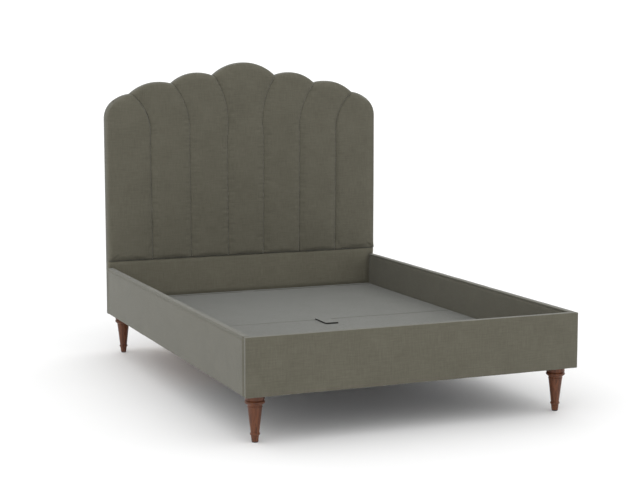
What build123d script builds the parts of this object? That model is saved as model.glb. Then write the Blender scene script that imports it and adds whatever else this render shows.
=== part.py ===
from build123d import *
import os

# Upholstered bed with a fluted, scallop-topped headboard and a lift-up storage lid.
# Frame: +X to the right seen from the foot end, +Y from foot to headboard, +Z up.
# Origin: centre of the footprint, on the floor. Millimetres.

# ---- Driving dimensions -------------------------------------------------------------------
WIDTH = 1440.0                    # overall width, rails and headboard alike
DEPTH = 2036.0                    # foot rail's outer face to the headboard's back
HEADBOARD_TOP = 1423.0            # apex of the middle scallop
RAIL_BOTTOM = 187.0               # height of the legs
RAIL_HEIGHT = 230.0
RAIL_THICKNESS = 28.0
RAIL_WADDING = 5.0                # fabric and wadding on each face of a rail
RAIL_ROUNDING = 4.0
DECK_TOP = 262.0                  # surface the mattress lies on
DECK_BOARD = 15.0
DECK_COVER = 3.0
DECK_SIDE_GAP = 3.0
SEAM_Y = 43.0                     # gap between the two deck panels
SEAM_GAP = 4.0

HEADBOARD_DEPTH = 47.0            # behind the plane where the rails end
HEADBOARD_CROWN = 20.0            # channels stand this far in front of that plane
LOWER_PAD_CROWN = 8.0
LOWER_PAD_TOP = 450.0             # seam between the plain band and the channels
PADDING = 13.0
PLYWOOD = 9.0
TIMBER = 22.0
SIDE_WRAP = 6.0                   # fabric and wadding round the headboard's edge
BACK_COVER = 3.0

FLOOR_BOARD = 4.0                 # bay floor and the level the framing starts at
LEDGER_WIDTH = 25.0
LEG_X = 659.0
FRONT_LEG_Y = -948.0
REAR_LEG_Y = 931.0
BLOCK_SIZE = 80.0

HINGE_Y = 940.0
HINGE_Z = 257.5                   # low enough that nothing stands above the deck
HINGE_XS = (-450.0, 0.0, 450.0)
KNUCKLE_R = 3.5
PIN_R = 1.4
PIN_CLEARANCE = 0.06
KNUCKLE_GAP = 0.3
KNUCKLE_LENGTH = 20.0
LEAF = 2.0
LEAF_DROP = 37.0
LID_SWING_ROOM = 1.5              # the head rail's cover stops short of the opened lid

# ---- Worked out from them ------------------------------------------------------------------
HALF_WIDTH = WIDTH / 2
FOOT_FACE = -DEPTH / 2
BACK_FACE = DEPTH / 2
HEAD_FACE = BACK_FACE - HEADBOARD_DEPTH
RAIL_TOP = RAIL_BOTTOM + RAIL_HEIGHT
INNER_X = HALF_WIDTH - RAIL_THICKNESS
INNER_FOOT = FOOT_FACE + RAIL_THICKNESS
DECK_UNDER = DECK_TOP - DECK_COVER - DECK_BOARD
FRAMING_BOTTOM = RAIL_BOTTOM + FLOOR_BOARD
PANEL_FRONT = HEAD_FACE + PADDING
PANEL_BACK = PANEL_FRONT + PLYWOOD
TIMBER_BACK = PANEL_BACK + TIMBER
CHANNEL_CROWN = HEAD_FACE - HEADBOARD_CROWN
HEAD_RAIL_FRONT = HINGE_Y + KNUCKLE_R + 1.0
LID_REAR = HINGE_Y - KNUCKLE_R - 0.5
LID_FRONT = SEAM_Y + SEAM_GAP / 2
FOOT_PANEL_REAR = SEAM_Y - SEAM_GAP / 2
CORNERS = {
    "front_left": (-1, FRONT_LEG_Y),
    "front_right": (1, FRONT_LEG_Y),
    "rear_left": (-1, REAR_LEG_Y),
    "rear_right": (1, REAR_LEG_Y),
}

os.makedirs("parts", exist_ok=True)


def save(builder, name):
    """Label a finished piece and write it as one STEP file."""
    builder.part.label = name
    export_step(builder.part, f"parts/{name}.step")


def facing_foot(y):
    """Plane across the bed at y: local x is +X, local y is +Z, and it extrudes towards -Y."""
    return Plane(origin=(0, y, 0), x_dir=(1, 0, 0), z_dir=(0, -1, 0))


def facing_right(x):
    """Plane along the bed at x: local x is +Y, local y is +Z, and it extrudes towards +X."""
    return Plane(origin=(x, 0, 0), x_dir=(0, 1, 0), z_dir=(1, 0, 0))


def slab(low, high, mode=Mode.ADD):
    """Rectangular block between two opposite corners, for use inside a part."""
    middle = tuple((a + b) / 2 for a, b in zip(low, high))
    size = [b - a for a, b in zip(low, high)]
    with Locations(middle):
        Box(*size, mode=mode)


def rod(plane, length, radius, mode=Mode.ADD):
    """Round bar that starts on a plane, for use inside a part."""
    with BuildSketch(plane) as disc:
        Circle(radius)
    extrude(disc.sketch, amount=length, mode=mode)


def save_slab(low, high, name):
    """Rectangular board or bar as a piece of its own."""
    with BuildPart() as board:
        slab(low, high)
    save(board, name)


# ---- Screws and bolts: one list of axes, used for the fasteners and for their holes ---------
SCREW_R = 3.0
SCREW_HEAD_R = 6.0
SCREW_HEAD = 3.0
SCREW_REACH = 20.0                # past the corner block, through the padding into a rail
BOLT_R = 4.0
BOLT_HEAD_R = 6.0
BOLT_HEAD = 4.0
BOLT_REACH = 60.0                 # into the end of the side rail boards
BOLT_ZS = (240.0, 360.0)
BOLT_X = HALF_WIDTH - RAIL_THICKNESS / 2
SCREW_Z = 218.0
LEG_BOLT_LOW = 150.0
LEG_BOLT_HIGH = 232.0


def block_span(corner):
    """Plan extent of a corner block: x limits (low, high) and y limits (low, high)."""
    side, leg_y = CORNERS[corner]
    xs = sorted((side * INNER_X, side * (INNER_X - BLOCK_SIZE)))
    if leg_y < 0:
        return xs, (INNER_FOOT, INNER_FOOT + BLOCK_SIZE)
    return xs, (HEAD_RAIL_FRONT - BLOCK_SIZE, HEAD_RAIL_FRONT)


def screw_planes(corner):
    """Start planes of a block's two screws: into the side rail, and into the foot or head rail."""
    side, leg_y = CORNERS[corner]
    xs, ys = block_span(corner)
    end = -1 if leg_y < 0 else 1
    inner_x = min(xs, key=abs)
    inner_y = min(ys, key=abs)
    into_side = Plane(origin=(inner_x, inner_y - end * -25, SCREW_Z), z_dir=(side, 0, 0))
    into_end = Plane(origin=(inner_x + side * 20, inner_y, SCREW_Z + 14), z_dir=(0, end, 0))
    return into_side, into_end


def screw(plane, length, radius, head_radius, head, mode=Mode.ADD):
    """Shank and head as one round solid: the head's outer face is on the plane."""
    rod(plane, head, head_radius, mode)
    rod(plane.offset(head), length - head, radius, mode)


def block_screws(corners, mode):
    for corner in corners:
        for plane in screw_planes(corner):
            screw(plane, BLOCK_SIZE + SCREW_REACH, SCREW_R, SCREW_HEAD_R, SCREW_HEAD, mode)


def headboard_bolts(sides, mode):
    for side in sides:
        for z in BOLT_ZS:
            plane = Plane(origin=(side * BOLT_X, TIMBER_BACK, z), z_dir=(0, -1, 0))
            screw(plane, HEADBOARD_DEPTH - BACK_COVER + BOLT_REACH, BOLT_R, BOLT_HEAD_R, BOLT_HEAD, mode)


def leg_bolts(corners, mode):
    for corner in corners:
        side, leg_y = CORNERS[corner]
        rod(Plane(origin=(side * LEG_X, leg_y, LEG_BOLT_LOW)), LEG_BOLT_HIGH - LEG_BOLT_LOW, BOLT_R, mode)


# ---- Headboard outline ---------------------------------------------------------------------
# Right half, from the middle outwards. Valleys are where a channel seam meets the edge.
APEX = (0.0, HEADBOARD_TOP)
VALLEYS = ((166.0, 1358.0), (381.0, 1320.0), (592.0, 1271.0))
CRESTS = ((247.0, 1373.0), (455.0, 1328.0))
SHOULDER_CREST = (638.0, 1259.0)
SHOULDER_CORNER = (678.0, 1236.0)
SIDE_START = (HALF_WIDTH, 1150.0)

# Seams between the channels: foot of the seam, where it starts to lean out, and a point between.
SEAM_FOOT_XS = (94.0, 291.0, 493.0)
SEAM_LEAN = 4.0
SEAM_STRAIGHT_TOP = 1050.0
SEAM_BENDS = ((116.0, 1262.0), (327.0, 1238.0), (529.0, 1200.0))


def flip(point, side):
    return (side * point[0], point[1])


def top_arcs(side):
    """Scallops of one half, from the middle valley to the straight side."""
    for valley, crest, after in zip(VALLEYS, CRESTS, VALLEYS[1:]):
        ThreePointArc(flip(valley, side), flip(crest, side), flip(after, side))
    shoulder(side)


def shoulder(side):
    ThreePointArc(flip(VALLEYS[-1], side), flip(SHOULDER_CREST, side), flip(SHOULDER_CORNER, side))
    TangentArc(flip(SIDE_START, side), flip(SHOULDER_CORNER, side), tangent=(0, 1))


def headboard_face(inset=0.0):
    """Whole outline of the headboard as a face, drawn on the open sketch."""
    with BuildLine() as outline:
        ThreePointArc(flip(VALLEYS[0], -1), APEX, VALLEYS[0])
        for side in (-1, 1):
            top_arcs(side)
            Line(flip(SIDE_START, side), (side * HALF_WIDTH, RAIL_BOTTOM))
        Line((-HALF_WIDTH, RAIL_BOTTOM), (HALF_WIDTH, RAIL_BOTTOM))
    make_face(outline.edges())
    if inset:
        offset(amount=-inset, kind=Kind.ARC, mode=Mode.REPLACE)


def seam_line(index, side):
    """Seam number index on one side, from the band up to its valley."""
    foot = (SEAM_FOOT_XS[index], LOWER_PAD_TOP)
    lean = (SEAM_FOOT_XS[index] + SEAM_LEAN, SEAM_STRAIGHT_TOP)
    Line(flip(foot, side), flip(lean, side))
    ThreePointArc(flip(lean, side), flip(SEAM_BENDS[index], side), flip(VALLEYS[index], side))


# ---- Headboard: padding and cover -----------------------------------------------------------
SEAM_DEPTH = 12.0                 # how far the seams lie behind the channels' crowns
CROWN_INSET = 10.0
CHANNELS = (
    # number, seam on the left, seam on the right: (index, side), or None at the headboard's edge
    (1, None, (2, -1)),
    (2, (2, -1), (1, -1)),
    (3, (1, -1), (0, -1)),
    (4, (0, -1), (0, 1)),
    (5, (0, 1), (1, 1)),
    (6, (1, 1), (2, 1)),
    (7, (2, 1), None),
)


def channel_outline(left, right):
    """Closed outline of one channel: its two sides, its scallop and its foot."""
    xs = []
    for seam, side in ((left, -1), (right, 1)):
        if seam:
            seam_line(*seam)
            xs.append(seam[1] * SEAM_FOOT_XS[seam[0]])
        else:
            shoulder(side)
            Line(flip(SIDE_START, side), (side * HALF_WIDTH, LOWER_PAD_TOP))
            xs.append(side * HALF_WIDTH)
    Line((xs[0], LOWER_PAD_TOP), (xs[1], LOWER_PAD_TOP))
    if left and right:
        if left[0] == right[0]:
            ThreePointArc(flip(VALLEYS[0], -1), APEX, VALLEYS[0])
        else:
            side = left[1]
            inner = min(left[0], right[0])
            ends = (VALLEYS[inner], CRESTS[inner], VALLEYS[inner + 1])
            ThreePointArc(*[flip(point, side) for point in ends])


for number, left, right in CHANNELS:
    with BuildPart() as channel:
        with BuildSketch(facing_foot(PANEL_FRONT)):
            with BuildLine():
                channel_outline(left, right)
            make_face()
        extrude(amount=PANEL_FRONT - CHANNEL_CROWN - SEAM_DEPTH)
        with BuildSketch(facing_foot(CHANNEL_CROWN + SEAM_DEPTH)):
            with BuildLine():
                channel_outline(left, right)
            make_face()
            offset(amount=-CROWN_INSET, kind=Kind.INTERSECTION, mode=Mode.REPLACE)
        extrude(amount=SEAM_DEPTH)
    save(channel, f"headboard_channel_{number}")

with BuildPart() as lower_pad:
    slab((-HALF_WIDTH, HEAD_FACE, RAIL_BOTTOM), (HALF_WIDTH, PANEL_FRONT, LOWER_PAD_TOP))
    slab((-INNER_X + 4, HEAD_FACE - LOWER_PAD_CROWN, DECK_TOP + 2), (INNER_X - 4, HEAD_FACE, LOWER_PAD_TOP))
    headboard_bolts((-1, 1), Mode.SUBTRACT)
save(lower_pad, "headboard_lower_pad")

with BuildPart() as side_cover:
    with BuildSketch(facing_foot(TIMBER_BACK)):
        headboard_face()
    extrude(amount=TIMBER_BACK - PANEL_FRONT)
    with BuildSketch(facing_foot(TIMBER_BACK)):
        headboard_face(SIDE_WRAP)
    extrude(amount=TIMBER_BACK - PANEL_FRONT, mode=Mode.SUBTRACT)
save(side_cover, "headboard_side_cover")

with BuildPart() as back_cover:
    with BuildSketch(facing_foot(BACK_FACE)):
        headboard_face()
    extrude(amount=BACK_COVER)
save(back_cover, "headboard_back_cover")

# ---- Headboard: timber ----------------------------------------------------------------------
POST_WIDTH = 70.0
POST_TOP = 1140.0
POST_OUTER_X = HALF_WIDTH - SIDE_WRAP - 1.0
CENTRE_POST_WIDTH = 70.0
CROSS_RAILS = {
    # name: lower edge, upper edge
    "headboard_bottom_rail": (RAIL_BOTTOM + SIDE_WRAP, RAIL_BOTTOM + SIDE_WRAP + 90),
    "headboard_middle_rail": (LOWER_PAD_TOP - 35, LOWER_PAD_TOP + 35),
    "headboard_top_rail": (POST_TOP - 70, POST_TOP),
}

with BuildPart() as panel:
    with BuildSketch(facing_foot(PANEL_BACK)):
        headboard_face(SIDE_WRAP)
    extrude(amount=PLYWOOD)
    headboard_bolts((-1, 1), Mode.SUBTRACT)
save(panel, "headboard_panel")

for side, name in ((-1, "headboard_post_left"), (1, "headboard_post_right")):
    outer, inner = side * POST_OUTER_X, side * (POST_OUTER_X - POST_WIDTH)
    with BuildPart() as post:
        slab(
            (min(outer, inner), PANEL_BACK, RAIL_BOTTOM + SIDE_WRAP),
            (max(outer, inner), TIMBER_BACK, POST_TOP),
        )
        headboard_bolts((side,), Mode.SUBTRACT)
    save(post, name)

post_inner = POST_OUTER_X - POST_WIDTH
for name, (low, high) in CROSS_RAILS.items():
    save_slab((-post_inner, PANEL_BACK, low), (post_inner, TIMBER_BACK, high), name)

centre_gaps = (
    (CROSS_RAILS["headboard_bottom_rail"][1], CROSS_RAILS["headboard_middle_rail"][0]),
    (CROSS_RAILS["headboard_middle_rail"][1], CROSS_RAILS["headboard_top_rail"][0]),
    (CROSS_RAILS["headboard_top_rail"][1], HEADBOARD_TOP - 60),
)
with BuildPart() as centre_post:
    for low, high in centre_gaps:
        slab((-CENTRE_POST_WIDTH / 2, PANEL_BACK, low), (CENTRE_POST_WIDTH / 2, TIMBER_BACK, high))
save(centre_post, "headboard_centre_posts")

with BuildPart() as bolts:
    headboard_bolts((-1, 1), Mode.ADD)
save(bolts, "headboard_bolts")

# ---- Rails ----------------------------------------------------------------------------------
BOARD_LOW = RAIL_BOTTOM + RAIL_WADDING
BOARD_HIGH = RAIL_TOP - RAIL_WADDING


def rail_cover(low, high, wadding):
    """Sleeve of the rail's outer size, hollow where the board sits.

    The wadding is given along X, Y and Z. Along an axis without any, the sleeve's ends are open.
    """
    slab(low, high)
    fillet(edges() if wadding[1] else edges().filter_by(Axis.Y), RAIL_ROUNDING)
    hollow_low = [a + thickness for a, thickness in zip(low, wadding)]
    hollow_high = [b - thickness for b, thickness in zip(high, wadding)]
    slab(hollow_low, hollow_high, mode=Mode.SUBTRACT)


for side, word in ((-1, "left"), (1, "right")):
    corners = [f"front_{word}", f"rear_{word}"]
    xs = sorted((side * HALF_WIDTH, side * INNER_X))
    with BuildPart() as cover:
        low, high = (xs[0], INNER_FOOT, RAIL_BOTTOM), (xs[1], HEAD_FACE, RAIL_TOP)
        rail_cover(low, high, (RAIL_WADDING, 0, RAIL_WADDING))
        block_screws(corners, Mode.SUBTRACT)
    save(cover, f"side_rail_{word}_cover")
    with BuildPart() as board:
        slab(
            (xs[0] + RAIL_WADDING, INNER_FOOT, BOARD_LOW),
            (xs[1] - RAIL_WADDING, HEAD_FACE, BOARD_HIGH),
        )
        block_screws(corners, Mode.SUBTRACT)
        headboard_bolts((side,), Mode.SUBTRACT)
    save(board, f"side_rail_{word}_board")

front_corners = ["front_left", "front_right"]
with BuildPart() as foot_cover:
    low, high = (-HALF_WIDTH, FOOT_FACE, RAIL_BOTTOM), (HALF_WIDTH, INNER_FOOT, RAIL_TOP)
    rail_cover(low, high, (RAIL_WADDING, RAIL_WADDING, RAIL_WADDING))
    block_screws(front_corners, Mode.SUBTRACT)
save(foot_cover, "foot_rail_cover")

with BuildPart() as foot_board:
    slab(
        (-HALF_WIDTH + RAIL_WADDING, FOOT_FACE + RAIL_WADDING, BOARD_LOW),
        (HALF_WIDTH - RAIL_WADDING, INNER_FOOT - RAIL_WADDING, BOARD_HIGH),
    )
    block_screws(front_corners, Mode.SUBTRACT)
save(foot_board, "foot_rail_board")

with BuildPart() as head_rail:
    slab((-INNER_X, HEAD_RAIL_FRONT, RAIL_BOTTOM), (INNER_X, HEAD_FACE, DECK_TOP - DECK_COVER))
    block_screws(["rear_left", "rear_right"], Mode.SUBTRACT)
save(head_rail, "head_rail")

save_slab(
    (-INNER_X, HEAD_RAIL_FRONT + LID_SWING_ROOM, DECK_TOP - DECK_COVER),
    (INNER_X, HEAD_FACE, DECK_TOP),
    "head_rail_cover",
)

# ---- Corner blocks and legs -----------------------------------------------------------------
PLATE = 3.0
LEG_HEIGHT = RAIL_BOTTOM
GLIDE = 4.0
GLIDE_R = 12.0
# Turned profile: radius and height pairs from the foot upwards, with the bead and collar arcs.
FOOT_R = 13.0
FOOT_BEAD_LOW = 28.0
FOOT_BEAD_HIGH = 38.0
FOOT_BEAD_R = 19.5
ANKLE_R = 16.5
NECK_R = 28.0
NECK_Z = 136.0
NECK_RING_R = 29.5
NECK_RING = 4.0
COVE_TOP_Z = 150.0
COVE_TOP_R = 34.0
BEAD_R = 39.0
BEAD_TOP_Z = 163.0
GROOVE_R = 34.5
COLLAR_R = 37.5
COLLAR_Z = 166.0


def leg_profile(top):
    """Half outline of a turned leg, in a plane whose local x is the radius."""
    with BuildLine() as outline:
        Line((0, GLIDE), (FOOT_R, GLIDE))
        Line((FOOT_R, GLIDE), (ANKLE_R - 0.5, FOOT_BEAD_LOW))
        ThreePointArc(
            (ANKLE_R - 0.5, FOOT_BEAD_LOW),
            (FOOT_BEAD_R, (FOOT_BEAD_LOW + FOOT_BEAD_HIGH) / 2),
            (ANKLE_R, FOOT_BEAD_HIGH),
        )
        Line((ANKLE_R, FOOT_BEAD_HIGH), (NECK_R, NECK_Z))
        ThreePointArc((NECK_R, NECK_Z), (NECK_RING_R, NECK_Z + NECK_RING / 2), (NECK_R, NECK_Z + NECK_RING))
        ThreePointArc(
            (NECK_R, NECK_Z + NECK_RING),
            (NECK_R + 1.6, (NECK_Z + NECK_RING + COVE_TOP_Z) / 2),
            (COVE_TOP_R, COVE_TOP_Z),
        )
        ThreePointArc(
            (COVE_TOP_R, COVE_TOP_Z),
            (BEAD_R, (COVE_TOP_Z + BEAD_TOP_Z) / 2),
            (GROOVE_R, BEAD_TOP_Z),
        )
        Line((GROOVE_R, BEAD_TOP_Z), (COLLAR_R, COLLAR_Z))
        Line((COLLAR_R, COLLAR_Z), (COLLAR_R, top))
        Line((COLLAR_R, top), (0, top))
        Line((0, top), (0, GLIDE))
    make_face(outline.edges())


for corner, (side, leg_y) in CORNERS.items():
    xs, ys = block_span(corner)
    with BuildPart() as block:
        slab((xs[0], ys[0], RAIL_BOTTOM + PLATE), (xs[1], ys[1], DECK_UNDER))
        block_screws([corner], Mode.SUBTRACT)
        leg_bolts([corner], Mode.SUBTRACT)
    save(block, f"corner_block_{corner}")
    with BuildPart() as leg:
        with BuildSketch(Plane(origin=(side * LEG_X, leg_y, 0), x_dir=(1, 0, 0), z_dir=(0, -1, 0))):
            leg_profile(LEG_HEIGHT)
        revolve(axis=Axis((side * LEG_X, leg_y, 0), (0, 0, 1)))
        leg_bolts([corner], Mode.SUBTRACT)
    save(leg, f"leg_{corner}")

with BuildPart() as plates:
    for corner, (side, leg_y) in CORNERS.items():
        xs, ys = block_span(corner)
        slab((xs[0], ys[0], RAIL_BOTTOM), (xs[1], ys[1], RAIL_BOTTOM + PLATE))
    leg_bolts(CORNERS, Mode.SUBTRACT)
save(plates, "leg_plates")

with BuildPart() as hanger_bolts:
    leg_bolts(CORNERS, Mode.ADD)
save(hanger_bolts, "leg_hanger_bolts")

with BuildPart() as leg_glides:
    with BuildSketch(Plane.XY):
        with Locations([(side * LEG_X, leg_y) for side, leg_y in CORNERS.values()]):
            Circle(GLIDE_R)
    extrude(amount=GLIDE)
save(leg_glides, "leg_glides")

with BuildPart() as corner_screws:
    block_screws(CORNERS, Mode.ADD)
save(corner_screws, "corner_block_screws")

# ---- Framing under the deck -----------------------------------------------------------------
LEDGER_FRONT = INNER_FOOT + BLOCK_SIZE
LEDGER_REAR = HEAD_RAIL_FRONT - BLOCK_SIZE
BEARER_HALF = 24.0
BEAM_HALF = 22.0
BATTEN_DEPTH = 25.0
BATTEN_WIDTH = 45.0
BATTEN_HALF_LENGTH = 590.0
BEAM_REAR = LID_REAR - BATTEN_WIDTH - 20.0
TONGUE_HEIGHT = 14.0

for side, word in ((-1, "left"), (1, "right")):
    xs = sorted((side * INNER_X, side * (INNER_X - LEDGER_WIDTH)))
    save_slab(
        (xs[0], LEDGER_FRONT, FRAMING_BOTTOM),
        (xs[1], LEDGER_REAR, DECK_UNDER),
        f"side_ledger_{word}",
    )

save_slab(
    (-INNER_X + BLOCK_SIZE, INNER_FOOT, FRAMING_BOTTOM),
    (INNER_X - BLOCK_SIZE, INNER_FOOT + LEDGER_WIDTH, DECK_UNDER),
    "foot_ledger",
)
bearer_reach = INNER_X - LEDGER_WIDTH
save_slab(
    (-bearer_reach, SEAM_Y - BEARER_HALF, FRAMING_BOTTOM),
    (bearer_reach, SEAM_Y + BEARER_HALF, DECK_UNDER),
    "mid_bearer",
)
save_slab(
    (-BEAM_HALF, INNER_FOOT + LEDGER_WIDTH, FRAMING_BOTTOM),
    (BEAM_HALF, SEAM_Y - BEARER_HALF, DECK_UNDER),
    "centre_beam_foot",
)

with BuildPart() as head_beam:
    with BuildSketch(facing_right(-BEAM_HALF)):
        with BuildLine():
            Polyline(
                (SEAM_Y + BEARER_HALF, FRAMING_BOTTOM),
                (HEAD_RAIL_FRONT, FRAMING_BOTTOM),
                (HEAD_RAIL_FRONT, FRAMING_BOTTOM + TONGUE_HEIGHT),
                (BEAM_REAR, FRAMING_BOTTOM + TONGUE_HEIGHT),
                (BEAM_REAR, DECK_UNDER),
                (SEAM_Y + BEARER_HALF, DECK_UNDER),
                close=True,
            )
        make_face()
    extrude(amount=2 * BEAM_HALF)
save(head_beam, "centre_beam_head")

CENTRE_LEG_R = 22.0
with BuildPart() as centre_leg:
    with BuildSketch(Plane(origin=(0, SEAM_Y, 0), x_dir=(1, 0, 0), z_dir=(0, -1, 0))):
        with BuildLine():
            Polyline(
                (0, GLIDE),
                (FOOT_R + 2, GLIDE),
                (CENTRE_LEG_R, RAIL_BOTTOM - 20),
                (CENTRE_LEG_R, RAIL_BOTTOM),
                (0, RAIL_BOTTOM),
                close=True,
            )
        make_face()
    revolve(axis=Axis((0, SEAM_Y, 0), (0, 0, 1)))
save(centre_leg, "centre_leg")

with BuildPart() as centre_glide:
    with BuildSketch(Plane.XY):
        with Locations((0, SEAM_Y)):
            Circle(GLIDE_R)
    extrude(amount=GLIDE)
save(centre_glide, "centre_leg_glide")

FLOOR_JOINT = 0.5
DUST_CLOTH = 1.5
for side, word in ((-1, "left"), (1, "right")):
    wide = sorted((side * INNER_X, side * FLOOR_JOINT))
    narrow = sorted((side * (INNER_X - BLOCK_SIZE), side * FLOOR_JOINT))
    with BuildPart() as bay_floor:
        slab((wide[0], SEAM_Y, RAIL_BOTTOM), (wide[1], LEDGER_REAR, FRAMING_BOTTOM))
        slab((narrow[0], LEDGER_REAR, RAIL_BOTTOM), (narrow[1], HEAD_RAIL_FRONT, FRAMING_BOTTOM))
    save(bay_floor, f"bay_floor_{word}")

with BuildPart() as dust_cloth:
    slab((-INNER_X, LEDGER_FRONT, FRAMING_BOTTOM - DUST_CLOTH), (INNER_X, SEAM_Y, FRAMING_BOTTOM))
    slab(
        (-INNER_X + BLOCK_SIZE, INNER_FOOT, FRAMING_BOTTOM - DUST_CLOTH),
        (INNER_X - BLOCK_SIZE, LEDGER_FRONT, FRAMING_BOTTOM),
    )
save(dust_cloth, "dust_cloth")

# ---- Deck panels ----------------------------------------------------------------------------
DECK_HALF = INNER_X - DECK_SIDE_GAP


def deck_panel(front, rear, board_name, cover_name):
    """Board and the cover that wraps its top and its four edges."""
    low = (-DECK_HALF + DECK_COVER, front + DECK_COVER, DECK_UNDER)
    high = (DECK_HALF - DECK_COVER, rear - DECK_COVER, DECK_TOP - DECK_COVER)
    save_slab(low, high, board_name)
    with BuildPart() as wrap:
        slab((-DECK_HALF, front, DECK_UNDER), (DECK_HALF, rear, DECK_TOP))
        slab(low, high, mode=Mode.SUBTRACT)
    save(wrap, cover_name)


deck_panel(INNER_FOOT + 2.0, FOOT_PANEL_REAR, "deck_foot_board", "deck_foot_cover")
deck_panel(LID_FRONT, LID_REAR, "lid_board", "lid_cover")
save_slab(
    (-BATTEN_HALF_LENGTH, LID_REAR - BATTEN_WIDTH, DECK_UNDER - BATTEN_DEPTH),
    (BATTEN_HALF_LENGTH, LID_REAR, DECK_UNDER),
    "lid_hinge_batten",
)

# ---- Hinges ---------------------------------------------------------------------------------
LEAF_TOP = HINGE_Z - KNUCKLE_R - KNUCKLE_GAP
LEAF_LOW = HINGE_Z - LEAF_DROP


def knuckle(x_low, x_high, bore_r):
    """Rolled knuckle between two x positions, bored for the pin."""
    end = Plane(origin=(x_low, HINGE_Y, HINGE_Z), x_dir=(0, 1, 0), z_dir=(1, 0, 0))
    rod(end, x_high - x_low, KNUCKLE_R)
    rod(end, x_high - x_low, bore_r, Mode.SUBTRACT)


def leaf_plate(x, y_low, knuckle_spans):
    """Flat plate of a leaf, with a neck up to each of its own knuckles."""
    half = 1.5 * KNUCKLE_LENGTH
    slab((x - half, y_low, LEAF_LOW), (x + half, y_low + LEAF, LEAF_TOP))
    for low, high in knuckle_spans:
        slab((low, y_low, LEAF_TOP), (high, y_low + LEAF, HINGE_Z))


def hinge_leaves(y_low, spans, bore_r):
    """One leaf on every hinge: spans are its knuckles' x limits from the hinge's middle."""
    for x in HINGE_XS:
        own = [(x + low, x + high) for low, high in spans]
        leaf_plate(x, y_low, own)
        for low, high in own:
            knuckle(low, high, bore_r)


knuckle_half = KNUCKLE_LENGTH / 2
leaf_half = 1.5 * KNUCKLE_LENGTH
fixed_spans = ((-leaf_half, -knuckle_half - KNUCKLE_GAP), (knuckle_half + KNUCKLE_GAP, leaf_half))
with BuildPart() as fixed_leaves:
    hinge_leaves(HEAD_RAIL_FRONT - LEAF, fixed_spans, PIN_R)
save(fixed_leaves, "hinge_leaves_fixed")

with BuildPart() as lid_leaves:
    hinge_leaves(LID_REAR, ((-knuckle_half, knuckle_half),), PIN_R + PIN_CLEARANCE)
save(lid_leaves, "hinge_leaves_lid")

with BuildPart() as hinge_pins:
    for x in HINGE_XS:
        rod(Plane(origin=(x - leaf_half, HINGE_Y, HINGE_Z), z_dir=(1, 0, 0)), 3 * KNUCKLE_LENGTH, PIN_R)
save(hinge_pins, "hinge_pins")

# ---- Pull tab -------------------------------------------------------------------------------
TAB_LEFT = 0.0
TAB_WIDTH = 60.0
TAB_LENGTH = 125.0
TAB_THICKNESS = 6.5
TAB_LIFT = 0.5
TAB_ROOT = 1.5

with BuildPart() as pull_tab:
    slab(
        (TAB_LEFT, SEAM_Y - TAB_LENGTH, DECK_TOP + TAB_LIFT),
        (TAB_LEFT + TAB_WIDTH, LID_FRONT, DECK_TOP + TAB_LIFT + TAB_THICKNESS),
    )
    slab(
        (TAB_LEFT, LID_FRONT - TAB_ROOT, DECK_UNDER),
        (TAB_LEFT + TAB_WIDTH, LID_FRONT, DECK_TOP + TAB_LIFT),
    )
save(pull_tab, "pull_tab")
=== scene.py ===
import math

import bmesh
import bpy
import numpy as np
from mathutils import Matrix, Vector, noise


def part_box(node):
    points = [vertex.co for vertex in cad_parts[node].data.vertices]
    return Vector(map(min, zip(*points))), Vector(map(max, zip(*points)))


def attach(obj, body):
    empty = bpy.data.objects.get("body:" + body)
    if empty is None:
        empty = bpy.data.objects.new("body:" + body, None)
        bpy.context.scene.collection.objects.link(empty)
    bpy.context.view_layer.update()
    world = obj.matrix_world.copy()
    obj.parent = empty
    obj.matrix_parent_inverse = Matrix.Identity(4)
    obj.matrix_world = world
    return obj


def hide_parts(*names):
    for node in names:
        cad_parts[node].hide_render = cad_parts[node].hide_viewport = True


# Upholstered bed: fluted scallop-topped headboard, low rails, cloth-covered deck with a lift-up lid.
# Metres, in the CAD frame: +X right seen from the foot end, +Y towards the headboard, +Z up.

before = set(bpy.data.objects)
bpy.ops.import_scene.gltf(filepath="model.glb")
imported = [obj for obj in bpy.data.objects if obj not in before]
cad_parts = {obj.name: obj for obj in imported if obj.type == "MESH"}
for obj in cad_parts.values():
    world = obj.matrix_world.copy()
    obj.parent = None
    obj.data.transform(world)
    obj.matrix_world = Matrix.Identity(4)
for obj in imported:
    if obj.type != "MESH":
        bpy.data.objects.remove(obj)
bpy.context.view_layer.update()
MM = 0.001


# ---- Camera ------------------------------------------------------------------------------------
CAMERA_PLACE = (-2.549, -6.0985, 1.445)
CAMERA_LENS = 83.35               # focal length and sensor width in mm
CAMERA_SENSOR = 36.0
CAMERA_PITCH = -0.1223            # radians from level, and from looking along +Y
CAMERA_YAW = -0.3966


def make_camera():
    data = bpy.data.cameras.new("camera")
    data.lens = CAMERA_LENS
    data.sensor_width = CAMERA_SENSOR
    camera = bpy.data.objects.new("camera", data)
    camera.location = CAMERA_PLACE
    camera.rotation_euler = (math.pi / 2 + CAMERA_PITCH, 0.0, CAMERA_YAW)
    bpy.context.scene.collection.objects.link(camera)
    bpy.context.scene.camera = camera


make_camera()


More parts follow.
